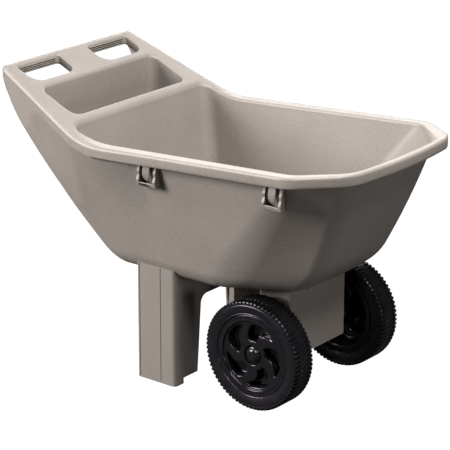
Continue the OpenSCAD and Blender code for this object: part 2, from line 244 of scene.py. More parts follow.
def shell_field(x, y, z):
    y = np.abs(y)
    flank_x = np.maximum(FLANK_X, back_x(z) + 60)
    flank = flank_y(z)
    at_flank = mix(flank, side_y(z), (flank_x - FLANK_X) / 260)
    at_front = np.minimum(mix(flank, side_y(z), 360 / 260), side_y(z) - 9)
    side = line_field(x, y, flank_x, at_flank, 120, at_front)
    back_y = 207 + 17 * (z - 285) / 376
    taper = line_field(x, y, back_x(z), back_y, flank_x, at_flank)
    back = back_x(z) - x
    front = x - 120
    return np.maximum(round_max(round_max(side, taper, 3.0), back, 26), front)


def rim_field(x, y):
    y = np.abs(y)
    side = y - HALF_W
    flank = line_field(x, y, FLANK_X, 271, -150, HALF_W)
    taper = line_field(x, y, -HALF_L, 225, FLANK_X, 271)
    facet = line_field(x, y, 368, HALF_W, 497, 176)
    bow = x - HALF_L + y * y / 2080
    back = -HALF_L - x
    front = round_max(round_max(side, facet, 13), bow, 24)
    return round_max(round_max(front, round_max(taper, flank, 2), 2), back, 12)


def wall_field(x, y, z):
    bucket = round_max(bucket_field(x, y, z), back_x(z) - x, 26)
    f = round_min(bucket, shell_field(x, y, z), 8) + inset(z, FILLET)
    return np.maximum(f, rim_field(x, y))


def divider_x(z):
    return -264 + 0.21 * (582 - z)


def cavity_field(x, y, z):
    low = np.maximum(z - WALL, BOTTOM)
    f = bucket_field(x, y, z) + WALL + inset(low, FILLET)
    back = np.maximum(back_x(z) + WALL + inset(low, FILLET), divider_x(z)) - x
    return round_max(f, back, 30)


def cast(field, centre, angles, reach=720.0):
    """Where rays from the centre leave the field's inside."""
    c, s = np.cos(angles), np.sin(angles)
    lo, hi = np.zeros(len(angles)), np.full(len(angles), reach)
    for _ in range(42):
        m = (lo + hi) / 2
        neg = field(centre + m * c, m * s) < 0
        lo, hi = np.where(neg, m, lo), np.where(neg, hi, m)
    return np.stack([centre + lo * c, lo * s], 1)


def even_angles(field, centre, n, corner=70.0):
    """Angles that spread n rays evenly along an outline, denser where it turns."""
    a = np.linspace(0, 2 * pi, 4001)
    p = cast(field, centre, a)
    d = np.diff(p, axis=0)
    seg = np.hypot(d[:, 0], d[:, 1])
    head = np.unwrap(np.arctan2(d[:, 1], d[:, 0]))
    turn = np.abs(np.diff(head, append=head[-1] + head[1] - head[0]))
    cost = np.concatenate([[0], np.cumsum(seg + corner * np.minimum(turn, 0.2))])
    return np.interp(np.arange(n) / n * cost[-1], cost, a)


# ---------------------------------------------------------------- tub

CENTRE = 60.0


def shrunk(loop):
    """Two smaller copies of a loop, about the tub's centre."""
    return [np.column_stack([mix(CENTRE, loop[:, 0], s), loop[:, 1] * s, loop[:, 2]]) for s in (0.66, 0.33)]


def build_tub():
    m = Mesh()
    # outer rim: rounded top edge, lip, underside, wall, bottom
    ang = even_angles(rim_field, CENTRE, 560)

    def rim_at(d):
        return cast(lambda x, y: rim_field(x, y) + d, CENTRE, ang)

    p0 = rim_at(0)
    hollow = step(-110, 80, p0[:, 0])
    away = step(-190, -45, p0[:, 0]) ** 1.3
    edge_r = mix(11.5, 6.5, step(-240, -40, p0[:, 0]))
    loops = []
    for k in range(7):
        t = pi / 2 * k / 6
        p = cast(lambda x, y: rim_field(x, y) + edge_r * (1 - math.sin(t)), CENTRE, ang)
        loops.append(np.column_stack([p, deck_z(p[:, 0]) - edge_r * (1 - math.cos(t))]))
    outer_xy = loops[0][:, :2]
    for drop in (13, 18, 23.8):
        loops.append(np.column_stack([p0, deck_z(p0[:, 0]) - drop]))
    p1 = rim_at(0.6)
    p3 = rim_at(2.6)
    p4 = rim_at(3.6)
    low = deck_z(p0[:, 0]) - LIP
    loops.append(np.column_stack([mix(p0, p1, hollow[:, None]), low]))

    def wall_at(z):
        return cast(lambda x, y: wall_field(x, y, z), CENTRE, ang)

    z_under = deck_z(p0[:, 0]) - mix(LIP + 1.5, 5.0, hollow)
    spare = p0 - wall_at(z_under)
    wall_top = p0 - spare * away[:, None]
    # where the wall is flush the lip's inner faces shrink onto it
    for p, dz in ((p3, 0.0), (p4, 1.2)):
        q = mix(mix(p0, wall_top, 0.5), p, hollow[:, None])
        loops.append(np.column_stack([q, low - mix(0.6 + dz * 0.3, -dz, hollow)]))
    q = mix(mix(p0, wall_top, 0.85), p4, hollow[:, None])
    z = np.maximum(low - mix(1.2, 0, hollow), z_under + 0.1 * (1 - hollow))
    loops.append(np.column_stack([q, z]))
    loops.append(np.column_stack([mix(q, wall_top, 0.5), z_under]))
    loops.append(np.column_stack([wall_top, z_under]))
    steps = 34
    for k in range(1, steps + 1):
        z = mix(z_under, 302.0, k / steps)
        w = wall_at(z)
        w = w + spare * ((1 - away) * (1 - k / steps) ** 1.5)[:, None]
        loops.append(np.column_stack([w, z]))
    for k in range(1, 13):
        z = BOTTOM + FILLET * (1 - math.sin(pi / 2 * k / 12))
        w = wall_at(np.full(len(ang), z))
        loops.append(np.column_stack([w, np.full(len(ang), z)]))
    rows = m.loft(loops)
    outer = (rows[0], outer_xy)
    inner = m.loft(shrunk(loops[-1]))
    m.bridge(rows[-1], inner[0])
    m.cap(inner[1], (CENTRE, 0, BOTTOM))

    # bucket: rounded inner edge, wall, fillet, floor
    bang = even_angles(lambda x, y: cavity_field(x, y, 570.0), CENTRE, 420)

    def cavity_at(z):
        return cast(lambda x, y: cavity_field(x, y, z), CENTRE, bang)

    top = cavity_at(np.full(len(bang), 570.0))
    for _ in range(12):
        r_in = 7 + 19 * step(370, 450, top[:, 0]) + 3 * (1 - step(-262, -225, top[:, 0]))
        z_top = deck_z(top[:, 0]) - r_in
        top = cavity_at(z_top)
    nxt = np.roll(top, -1, axis=0) - np.roll(top, 1, axis=0)
    normal = np.column_stack([nxt[:, 1], -nxt[:, 0]]) / np.hypot(nxt[:, 0], nxt[:, 1])[:, None]
    loops = []
    for k in range(8):
        t = pi / 2 * (1 - k / 8)
        q = top + normal * (r_in * (1 - np.cos(t)))[:, None]
        loops.append(np.column_stack([q, deck_z(q[:, 0]) - r_in * (1 - math.sin(t))]))
    bucket_xy = loops[0][:, :2]
    for k in range(0, 31):
        z = mix(z_top, 306.0, k / 30)
        loops.append(np.column_stack([cavity_at(z), z]))
    for k in range(1, 13):
        z = BOTTOM + WALL + FILLET * (1 - math.sin(pi / 2 * k / 12))
        loops.append(np.column_stack([cavity_at(np.full(len(bang), z)), np.full(len(bang), z)]))
    rows = m.loft(loops)
    bucket = (rows[0], bucket_xy)
    inner = m.loft(shrunk(loops[-1]))
    m.bridge(rows[-1], inner[0])
    m.cap(inner[1], (CENTRE, 0, BOTTOM + WALL))

    # tray
    def tray_loop(z, grow, r):
        back = max(-394 + 0.03 * (640 - z), back_x(z) + WALL + 1)
        front = mix(divider_x(z) - 6, -287, float(step(545, 572, z)))
        half = 202 - 0.05 * (640 - z)
        r = max(2.0, min(r, (front - back) / 2 - 0.5))
        return round_rect(back, front, -half, half, (r, r, r, r), 10, 1, grow)

    def dense(p):
        """Adds points along the long straight runs."""
        out = []
        for i in range(len(p)):
            a, b = p[i], p[(i + 1) % len(p)]
            out.append(a)
            if i % 11 == 10:
                k = 40 if i // 11 in (1, 3) else 12
                out += [mix(a, b, j / k) for j in range(1, k)]
        return np.array(out)

    loops = []
    for k in range(8):
        t = pi / 2 * (1 - k / 7)
        p = dense(tray_loop(600.0, 6 * (1 - math.cos(t)), 24))
        loops.append(np.column_stack([p, deck_z(p[:, 0]) - 6 * (1 - math.sin(t))]))
    tray_xy = loops[0][:, :2]
    top_z = loops[-1][:, 2]
    for k in range(1, 25):
        zt = mix(575.0, 338.0, k / 24)
        p = dense(tray_loop(mix(600.0, 338.0, k / 24), 0, mix(24, 12, k / 24)))
        z = mix(top_z, zt, min(1.0, k / 5))
        if k > 5:
            z = np.full(len(p), zt)
        loops.append(np.column_stack([p, z]))
    rows = m.loft(loops)
    tray = (rows[0], tray_xy)
    c = loops[-1].mean(0)
    m.cap(rows[-1], c)

    # hand holes, blind here and opened by the recess below
    slots = []
    for side in (-1, 1):
        loops = []
        for k in range(6):
            t = pi / 2 * (1 - k / 5)
            p = slot_outline(side, 3.5 * (1 - math.cos(t)))
            loops.append(np.column_stack([p, deck_z(p[:, 0]) - 3.5 * (1 - math.sin(t))]))
        xy = loops[0][:, :2]
        for drop in (10, 17, 24, 40):
            loops.append(np.column_stack([p, deck_z(p[:, 0]) - drop]))
        rows = m.loft(loops)
        slots.append((rows[0], xy))
        m.cap(rows[-1], loops[-1].mean(0))

    plate(m, outer, [bucket, tray] + slots, lambda x, y: float(deck_z(x)), 7.0, 3.0)
    return m.build("tub_body")


def solid_prism(name, profile, half_y):
    """A closed prism: profile in X and Z, drawn out along Y."""
    bm = bmesh.new()
    ends = []
    for y in (-half_y, half_y):
        ends.append([bm.verts.new((x * MM, y * MM, z * MM)) for x, z in profile])
    bm.faces.new(ends[0])
    bm.faces.new(list(reversed(ends[1])))
    n = len(profile)
    for i in range(n):
        j = (i + 1) % n
        bm.faces.new((ends[0][j], ends[0][i], ends[1][i], ends[1][j]))
    bmesh.ops.recalc_face_normals(bm, faces=bm.faces)
    mesh = bpy.data.meshes.new(name)
    bm.to_mesh(mesh)
    bm.free()
    obj = bpy.data.objects.new(name, mesh)
    bpy.context.scene.collection.objects.link(obj)
    return obj


def apply_modifiers(obj):
    deps = bpy.context.evaluated_depsgraph_get()
    mesh = bpy.data.meshes.new_from_object(obj.evaluated_get(deps))
    old = obj.data
    obj.modifiers.clear()
    obj.data = mesh
    bpy.data.meshes.remove(old)


def cut(obj, tool, operation="DIFFERENCE"):
    mod = obj.modifiers.new("cut", "BOOLEAN")
    mod.operation = operation
    mod.solver = "EXACT"
    mod.object = tool
    apply_modifiers(obj)
    mesh = tool.data
    bpy.data.objects.remove(tool)
    bpy.data.meshes.remove(mesh)


def slot_outline(side, grow=0.0):
    y0, y1 = sorted((side * 50, side * 192))
    return round_rect(-474, -414, y0, y1, (30, 7, 7, 30), 10, 16, grow)


def closed_loft(name, loops):
    """A closed solid from matching loops, with flat ends."""
    m = Mesh()
    rows = m.loft(loops)
    m.f.append(tuple(rows[0]))
    m.f.append(tuple(reversed(rows[-1])))
    return m.build(name, weld=0, smooth=False)


def open_recess(tub):
    """The finger space under the hand holes. The grip bar and a skirt round each hole are left standing."""
    xs = np.linspace(-476, -399, 18)
    top = [(float(x), float(deck_z(x)) - 4.2) for x in xs]
    bar = float(deck_z(-476)) - 24
    profile = top + [(-401.5, 492), (-440, 440), (-560, 440), (-560, bar - 12), (-500, bar), (-479, bar),
                     (-476, bar + 3)]
    tool = solid_prism("recess", profile, 214.5)
    for side in (-1, 1):
        p = slot_outline(side, 3.2)
        cut(tool, closed_loft("skirt", [np.column_stack([p, deck_z(p[:, 0]) - d]) for d in (21, -12)]))
    cut(tub, tool)
    for side in (-1, 1):
        y0, y1 = sorted((side * 60, side * 182))
        for k in range(4):
            z = float(deck_z(-474)) - 6 - 4.5 * k
            ring = [(-474.2 + 1.5 * math.cos(t), z + 1.2 * math.sin(t)) for t in np.arange(12) / 12 * 2 * pi]
            cut(tub, closed_loft("rib", [[(x, y, h) for x, h in ring] for y in (y0, y1)]), "UNION")
            if k:                           # a groove between this rib and the one above
                ring = [(-480, z + 1), (-480, z + 3.5), (-473.5, z + 3.7), (-473.5, z + 0.8)]
                cut(tub, closed_loft("groove", [[(x, y, h) for x, h in ring] for y in (y0, y1)]))


tub = build_tub()
open_recess(tub)
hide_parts("tub")
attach(tub, "frame")


# ---------------------------------------------------------------- wheels

# Wheel points are (x, y, out): x along +X, y up on the right wheel, out away from the cart
AXLE_X, WHEEL_R, TYRE_Y, TYRE_W = 219.0, 127.0, 133.0, 64.0
TREAD_BARS, SLOT_HALF, SLOT_DEPTH = 76, 2.2, 4.0
FACE, RECESS = 56.0, 48.0
POCKET_TURN, POCKET_FLOOR = 115.5, 33.0


def wheel_place(side):
    if side < 0:
        return lambda x, y, out: (AXLE_X + x, -TYRE_Y - out, WHEEL_R + y)
    return lambda x, y, out: (AXLE_X + x, TYRE_Y + out, WHEEL_R - y)


def circle(r, out, n):
    a = np.arange(n) / n * 2 * pi
    return np.column_stack([r * np.cos(a), r * np.sin(a), np.full(n, float(out))])


def build_tyre(name, side):
    """Side walls with fine rings, and a row of tread bars each side of a smooth middle band."""
    side_wall = [(94.9, 57), (95.1, 60.6), (95.7, 62.0), (96.8, 62.7), (98.2, 62.8), (99.0, 62.3),
                 (99.8, 62.5), (104, 63.3), (110, 63.8), (115.5, 63.9), (117.2, 63.8), (118.0, 63.2),
                 (118.8, 63.5), (121.4, 63.4), (123.2, 63.2), (124.6, 62.9), (125.8, 62.2), (126.6, 61.1),
                 (127, 59.6)]
    tread = [(127, z) for z in (50, 44.4, 42.8, 41.6, 38, 33)]
    half = side_wall + tread
    profile = half + [(r, TYRE_W - z) for r, z in reversed(half)]
    w, e = SLOT_HALF, 0.3
    edge = [-w - e, -w + e, w - e, w + e]
    pitch = 2 * pi * WHEEL_R / TREAD_BARS
    cols = edge + [pitch / 4] + [pitch / 2 + d for d in edge] + [pitch * 0.75]
    arc = np.concatenate([np.array(cols) + k * pitch for k in range(TREAD_BARS)])
    ang = arc / WHEEL_R
    phase = (arc + pitch / 2) % pitch - pitch / 2
    inner_slot = 1 - step(w - e, w + e, np.abs(phase))
    outer_slot = 1 - step(w - e, w + e, pitch / 2 - np.abs(phase))
    m = Mesh()
    loops = []
    for r, z in profile:
        slot = outer_slot * step(42, 44, z) + inner_slot * step(42, 44, TYRE_W - z)
        shoulder = step(24, 30, abs(z - TYRE_W / 2))
        deep = np.minimum(r, WHEEL_R - SLOT_DEPTH - 1.2 * shoulder)
        rr = r + (deep - r) * slot
        loops.append(np.column_stack([rr * np.cos(ang), rr * np.sin(ang), np.full(len(ang), float(z))]))
    rows = m.loft(loops)
    m.bridge(rows[-1], rows[0])
    return m.build(name, sharp=38, place=wheel_place(side))


def pocket_field(x, y):
    """One curved wheel window, with its tip at angle 0."""
    leaf = round_max(np.hypot(x - 46, y - 20) - 33, np.hypot(x, y) - 75.5, 5)
    hook = round_max(35 - np.hypot(x, y), 24 - np.hypot(x - 42, y + 3), 3)
    return round_max(leaf, hook, 5)


def pocket_loops(grow, n=96):
    """The five windows' outlines, grown by grow."""
    a = np.arange(n) / n * 2 * pi
    p = cast(lambda x, y: pocket_field(x, y + 34) - grow, 48.0, a, 60.0) + np.array([0.0, 34.0])
    out = []
    for i in range(5):
        t = math.radians(POCKET_TURN + 72 * i)
        c, s = math.cos(t), math.sin(t)
        out.append(np.column_stack([p[:, 0] * c - p[:, 1] * s, p[:, 0] * s + p[:, 1] * c]))
    return out


def pocket_centre(i):
    t = math.radians(POCKET_TURN + 72 * i)
    return 48 * math.cos(t) - 34 * math.sin(t), 48 * math.sin(t) + 34 * math.cos(t)


def build_rim(name, side):
    m = Mesh()
    n = 180
    band = [(94.6, 4.6), (94.6, 59.6), (94.2, 60.6), (93.4, 61.0), (92.4, 60.8), (84.8, 60.0), (84.0, 60.25),
            (83.0, 60.5), (82.1, 60.3), (81.5, 59.7), (81.2, 58.8), (81.0, 57.4), (80.6, 56.5), (79.9, 56.1),
            (79.0, FACE)]
    front = m.loft([circle(r, z, n) for r, z in band])
    hub = [(24.6, FACE), (23.6, 55.8), (22.9, 55.2), (22.5, 54.2), (22.5, 49.4), (22.1, 48.4), (21.2, RECESS),
           (11, RECESS)]
    well = m.loft([circle(r, z, 96) for r, z in hub])
    windows = []
    for i in range(5):
        loops = []
        for k in range(6):
            t = pi / 2 * (1 - k / 5)
            loops.append(np.column_stack([pocket_loops(2.2 * (1 - math.cos(t)))[i],
                                          np.full(96, FACE - 2.2 * (1 - math.sin(t)))]))
        xy = loops[0][:, :2]
        for grow, z in ((-0.2, 50), (-0.6, 43), (-1.0, 36.5), (-1.6, 34.4), (-3.4, POCKET_FLOOR)):
            loops.append(np.column_stack([pocket_loops(grow)[i], np.full(96, float(z))]))
        rows = m.loft(loops)
        windows.append((rows[0], xy))
        m.cap(rows[-1], (*pocket_centre(i), POCKET_FLOOR))
    plate(m, (front[-1], circle(79, 0, n)[:, :2]), [(well[0], circle(24.6, 0, 96)[:, :2])] + windows,
          lambda x, y: FACE, 3.6, 1.4)
    # back: band, web with the windows' cups, hub tube
    rear = [(94.6, 4.6), (93.6, 4), (80.6, 4), (79.2, 4.6), (78.8, 6), (78.0, 50.0)]
    rear = m.loft([circle(r, z, n) for r, z in rear])
    hub_tube = [(23.5, 50), (21.5, 46), (21.0, 40), (21.0, 1.2), (20.3, 0.5), (11, 0.5)]
    hub_tube = m.loft([circle(r, z, 96) for r, z in hub_tube])
    cups = []
    for i in range(5):
        loops = [np.column_stack([pocket_loops(g)[i], np.full(96, float(z))])
                 for g, z in ((2.3, 50), (2.1, 44), (1.7, 34), (1.0, 31.0), (-0.8, 30.0))]
        rows = m.loft(loops)
        cups.append((rows[0], loops[0][:, :2]))
        m.cap(rows[-1], (*pocket_centre(i), 30.0))
    plate(m, (rear[-1], circle(78.0, 0, n)[:, :2]), [(hub_tube[0], circle(23.5, 0, 96)[:, :2])] + cups,
          lambda x, y: 50.0, 5.0, 1.8)
    m.bridge(well[-1], hub_tube[-1])
    return m.build(name, sharp=50, place=wheel_place(side))


def build_cap(name, side):
    """Dome with a flat shoulder, standing in the hub recess."""
    m = Mesh()
    seat = RECESS + 0.05
    shape = [(17.2, seat), (19.6, seat), (20.0, 48.6), (20.0, 52.6), (19.7, 53.8), (18.9, 54.8),
             (17.6, 55.4), (16.4, 55.5), (15.9, 55.9), (15.6, 56.8), (14.7, 58.2), (12.9, 59.5), (10.2, 60.4),
             (7, 60.8), (4.6, 60.9), (4.1, 60.6), (3.4, 60.5)]
    rows = m.loft([circle(r, z, 72) for r, z in shape])
    m.cap(rows[-1], (0, 0, 60.5))
    inner = m.loft([circle(r, z, 72) for r, z in ((17.2, seat), (17.2, 55), (15, 56), (8, 58))])
    m.cap(inner[-1], (0, 0, 58.2))
    return m.build(name, sharp=45, place=wheel_place(side))


wheels = []
for side, word in ((-1, "right"), (1, "left")):
    body = word + "_wheel"
    for maker, part, slot in ((build_tyre, "tyre", "tyre"), (build_rim, "rim", "wheel_plastic"),
                              (build_cap, "hub_cap", "cap_plastic")):
        piece = maker(f"{word}_{part}_body", side)
        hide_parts(f"{word}_{part}")
        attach(piece, body)
        wheels.append((piece, part))


# ---------------------------------------------------------------- moulded stand and bracket

def box(x0, x1, y0, y1, z0, z1):
    return closed_loft("box", [[(x0, y0, z), (x1, y0, z), (x1, y1, z), (x0, y1, z)] for z in (z0, z1)])


def upright(outline, z0, z1):
    return closed_loft("upright", [[(x, y, z) for x, y in outline] for z in (z0, z1)])


def along_x(outline, x0, x1):
    return closed_loft("along", [[(x, y, z) for y, z in outline] for x in (x0, x1)])


def arc(cy, cz, r, a0, a1, n):
    angles = [math.radians(mix(a0, a1, k / n)) for k in range(n + 1)]
    return [(cy + r * math.cos(a), cz + r * math.sin(a)) for a in angles]


def soften(obj, width, angle=30):
    """Rounds the moulded edges and keeps flat faces flat."""
    bevel = obj.modifiers.new("edges", "BEVEL")
    bevel.width = width * MM
    bevel.segments = 3
    bevel.limit_method = "ANGLE"
    bevel.angle_limit = math.radians(angle)
    bevel.harden_normals = True
    for f in obj.data.polygons:
        f.use_smooth = True
    apply_modifiers(obj)


def tub_foot():
    """The outside of the tub's bottom, a hair larger, to shape what sits against it."""
    ang = np.arange(240) / 240 * 2 * pi
    loops = []
    for k in range(13):
        z = BOTTOM + FILLET * (1 - math.cos(pi / 2 * k / 12))
        loops.append((z, cast(lambda x, y: wall_field(x, y, z) - 0.3, CENTRE, ang)))
    for z in (330, 360):
        loops.append((z, cast(lambda x, y: wall_field(x, y, z) - 0.3, CENTRE, ang)))
    return closed_loft("foot", [np.column_stack([p, np.full(len(p), z - 0.3)]) for z, p in loops])


def build_stand():
    x0, x1, half, t = -99.0, 11.0, 207.0, 4.5
    body = upright(round_rect(x0, x1, -half, half, (11, 3, 3, 11), 8, 2), 0, 282)
    cut(body, tub_foot())
    arch = arc(91, 176, 22, 0, 90, 12) + arc(-91, 176, 22, 90, 180, 12) + [(-126.5, -1), (126.5, -1)]
    cut(body, along_x(arch, x0 - 5, x1 + 5))
    for s in (-1, 1):
        def sided(ya, yb, xa, xb, za, zb):
            lo, hi = sorted((s * ya, s * yb))
            return box(xa, xb, lo, hi, za, zb)
        cut(body, sided(60, half - t, x0 + t, x1 - t, -1, BOTTOM - 2 * t))
        cut(body, sided(100, 176, x0 + 30, x1 + 5, -1, 14))
        for x in (5.5, 67):
            cut(body, sided(half - 1.6, half + 2, x0 + x, x0 + x + 2.0, 5, 300))
    cut(body, box(x0 + t, x1 - t, -61, 61, 100, BOTTOM - 2 * t))
    for s in (-1, 1):
        lo, hi = sorted((s * (half - 30), s * (half - 1.2)))
        cut(body, box(x0 + t - 1, x1 - t + 1, lo, hi, 0, 5), "UNION")
        lo, hi = sorted((s * 122, s * 126))
        cut(body, box(x0 + 0.5, x0 + 22.5, lo, hi, 0, 180), "UNION")
    soften(body, 1.3)
    return body


def build_bracket():
    x0, x1, half, t, low, top = 177.0, 261.0, 106.0, 4.5, 100.0, BOTTOM - 0.3
    body = upright(round_rect(x0, x1, -half, half, (8, 8, 8, 8), 8, 2), low, top)
    cut(body, tub_foot())
    hollow = round_rect(x0 + t, x1 - t, -half + t, half - t, (3.5, 3.5, 3.5, 3.5), 5, 2)
    cut(body, upright(hollow, low - 1, top - t))
    bore = [(AXLE_X + 6.5 * math.cos(a), WHEEL_R + 6.5 * math.sin(a)) for a in np.arange(40) / 40 * 2 * pi]
    cut(body, closed_loft("bore", [[(x, y, z) for x, z in bore] for y in (-half - 5, half + 5)]))
    for y in (-39, 39):
        cut(body, box(x1 - 1.8, x1 + 2, y - 1.2, y + 1.2, top - 14, top + 2))
    soften(body, 1.1)
    return body


stand, bracket = build_stand(), build_bracket()
for piece, node in ((stand, "rear_stand"), (bracket, "axle_bracket")):
    piece.name = node + "_body"
    piece.data.name = piece.name
    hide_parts(node)
    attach(piece, "frame")


# ---------------------------------------------------------------- tool clips

CLIP_W, CLIP_H, CLIP_D = 50.0, 58.0, 19.0
CLIP_SEATS = {"rear": (-29, 546, 4.6, 0.148, 1.2), "front": (317, 563, 0, 0.131, 0.5)}


def clip_place(which, side):
    """Maps clip points (along, out, up from the clip's top) into space."""
    x0, top, turn, slope, off = CLIP_SEATS[which]
    if which == "rear":
        seat = mix(flank_y(top), side_y(top), (x0 - FLANK_X) / 260) + off
    else:
        seat = side_y(top) + off
    tilt, turn = -math.atan(slope), -math.radians(turn)

    def place(u, v, w):
        y = v * math.cos(tilt) - w * math.sin(tilt)
        z = v * math.sin(tilt) + w * math.cos(tilt)
        x = u * math.cos(turn) - y * math.sin(turn)
        y = u * math.sin(turn) + y * math.cos(turn)
        return x0 + x, side * (seat + y), top + z

    return place


def prism_object(name, outline, lo, hi, axis="u", place=None):
    """A closed prism. With axis u the outline is in (out, up), with axis v it is in (along, up)."""
    m = Mesh()
    ends = []
    for d in (lo, hi):
        ends.append(m.add([(d, a, b) if axis == "u" else (a, d, b) for a, b in outline]))
    m.bridge(ends[0], ends[1])
    m.f.append(tuple(ends[0]))
    m.f.append(tuple(reversed(ends[1])))
    return m.build(name, weld=0, smooth=False, place=place)


def tongue_object(name, place):
    """The spring tongue: a curved strip that narrows to a rounded point."""
    path = [(2.4, -0.6), (5.5, -3.5), (8.6, -10), (11.4, -18), (13.4, -25), (14.4, -31), (14.2, -36),
            (12.8, -40.5), (11.0, -44.5)]
    half = [9.8, 9.8, 9.8, 9.8, 9.7, 9.3, 8.0, 5.8, 2.8]
    m = Mesh()
    rows = []
    for i, ((v, w), h) in enumerate(zip(path, half)):
        a, b = path[max(i - 1, 0)], path[min(i + 1, len(path) - 1)]
        dv, dw = b[0] - a[0], b[1] - a[1]
        n = math.hypot(dv, dw)
        nv, nw = -dw / n, dv / n
        t = 1.4
        ring = []
        for u, k in ((-h, -0.6), (-h, 0.6), (-h + 0.8, 1), (0, 1), (h - 0.8, 1), (h, 0.6), (h, -0.6),
                     (h - 0.8, -1), (0, -1), (-h + 0.8, -1)):
            ring.append((u, v + nv * t * k, w + nw * t * k))
        rows.append(m.add(ring))
    for a, b in zip(rows[:-1], rows[1:]):
        m.bridge(a, b)
    m.f.append(tuple(rows[0]))
    m.f.append(tuple(reversed(rows[-1])))
    return m.build(name, weld=0, place=place)


def build_clip(which, side):
    word = "right" if side < 0 else "left"
    place = clip_place(which, side)
    w = CLIP_W / 2
    arm = [(0, 0), (8, 0), (8.6, -15), (13.4, -23.5), (13.6, -33.5), (CLIP_D, -43), (CLIP_D, -55.5),
           (17, -CLIP_H), (0, -CLIP_H)]
    back = prism_object("clip_back", [(-w, 0), (-w, -CLIP_H), (w, -CLIP_H), (w, 0)], 0.0, 2.6, "v", place)
    bar = [(0.2, -CLIP_H), (17, -CLIP_H), (18.7, -56), (18.7, -49.5), (17.4, -48), (15.6, -48.6),
           (15.2, -54), (0.2, -54.6)]
    parts = [prism_object("arm", arm, -w, -w + 6.3, "u", place),
             prism_object("arm", arm, w - 6.3, w, "u", place),
             prism_object("bar", bar, -w + 2, w - 2, "u", place), tongue_object("tongue", place)]
    for part in parts:
        cut(back, part, "UNION")
    back.name = f"{word}_{which}_clip_body"
    back.data.name = back.name
    soften(back, 0.8, 28)
    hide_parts(f"{word}_{which}_clip")
    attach(back, "frame")
    return back


clips = [build_clip(which, side) for which in ("rear", "front") for side in (-1, 1)]


# ---------------------------------------------------------------- materials

def node_material(name):
    mat = bpy.data.materials.new(name)
    mat.use_nodes = True
    nt = mat.node_tree
    bsdf = nt.nodes["Principled BSDF"]
    return mat, nt, bsdf


def coords(nt, scale):
    tex = nt.nodes.new("ShaderNodeTexCoord")
    mp = nt.nodes.new("ShaderNodeMapping")
    mp.inputs["Scale"].default_value = scale
    nt.links.new(tex.outputs["Object"], mp.inputs["Vector"])
    return mp.outputs["Vector"]


def noise(nt, vector, scale, detail=4.0, rough=0.55):
    n = nt.nodes.new("ShaderNodeTexNoise")
    n.inputs["Scale"].default_value = scale
    n.inputs["Detail"].default_value = detail
    n.inputs["Roughness"].default_value = rough
    nt.links.new(vector, n.inputs["Vector"])
    return n.outputs["Fac"]


def ramp(nt, fac, stops):
    r = nt.nodes.new("ShaderNodeValToRGB")
    el = r.color_ramp.elements
    while len(el) < len(stops):
        el.new(0.5)
    for e, (pos, col) in zip(el, stops):
        e.position = pos
        e.color = (*col, 1)
    nt.links.new(fac, r.inputs["Fac"])
    return r.outputs["Color"]


def remap(nt, fac, lo, hi):
    r = nt.nodes.new("ShaderNodeMapRange")
    r.inputs["From Min"].default_value = 0.3
    r.inputs["From Max"].default_value = 0.7
    r.inputs["To Min"].default_value = lo
    r.inputs["To Max"].default_value = hi
    nt.links.new(fac, r.inputs["Value"])
    return r.outputs["Result"]


def bump(nt, bsdf, heights):
    """heights: (field, strength, distance in mm) applied one after the other."""
    normal = None
    for h, strength, dist in heights:
        b = nt.nodes.new("ShaderNodeBump")
        b.inputs["Strength"].default_value = strength
        b.inputs["Distance"].default_value = dist * MM
        nt.links.new(h, b.inputs["Height"])
        if normal is not None:
            nt.links.new(normal, b.inputs["Normal"])
        normal = b.outputs["Normal"]
    nt.links.new(normal, bsdf.inputs["Normal"])


def plastic(name, dark, light, rough, grain=900.0, grain_strength=0.12, speckle=0.35, gloss=0.5,
            tint=(1, 1, 1)):
    mat, nt, bsdf = node_material(name)
    bsdf.inputs["Specular IOR Level"].default_value = gloss
    bsdf.inputs["Specular Tint"].default_value = (*tint, 1)
    v = coords(nt, (1, 1, 1))
    broad = noise(nt, v, 5.0, 3.0)
    fine = noise(nt, v, 60.0 if speckle < 0.5 else 420.0, 3.0)
    mixed = nt.nodes.new("ShaderNodeMath")
    mixed.operation = "MULTIPLY_ADD"
    mixed.inputs[1].default_value = speckle
    nt.links.new(fine, mixed.inputs[0])
    scaled = nt.nodes.new("ShaderNodeMath")
    scaled.operation = "MULTIPLY"
    scaled.inputs[1].default_value = 1 - speckle
    nt.links.new(broad, scaled.inputs[0])
    nt.links.new(scaled.outputs[0], mixed.inputs[2])
    nt.links.new(ramp(nt, mixed.outputs[0], [(0.3, dark), (0.7, light)]), bsdf.inputs["Base Color"])
    nt.links.new(remap(nt, fine, rough - 0.05, rough + 0.06), bsdf.inputs["Roughness"])
    bump(nt, bsdf, [(noise(nt, v, 14.0, 2.0), 0.25, 1.2), (noise(nt, v, grain, 2.0), grain_strength, 0.12)])
    return mat


def steel_material(name, dark, light):
    mat, nt, bsdf = node_material(name)
    v = coords(nt, (1, 1, 1))
    n = noise(nt, v, 120.0, 4.0)
    nt.links.new(ramp(nt, n, [(0.3, dark), (0.7, light)]), bsdf.inputs["Base Color"])
    bsdf.inputs["Metallic"].default_value = 1.0
    nt.links.new(remap(nt, n, 0.28, 0.42), bsdf.inputs["Roughness"])
    bump(nt, bsdf, [(noise(nt, v, 700.0, 2.0), 0.15, 0.05)])
    return mat


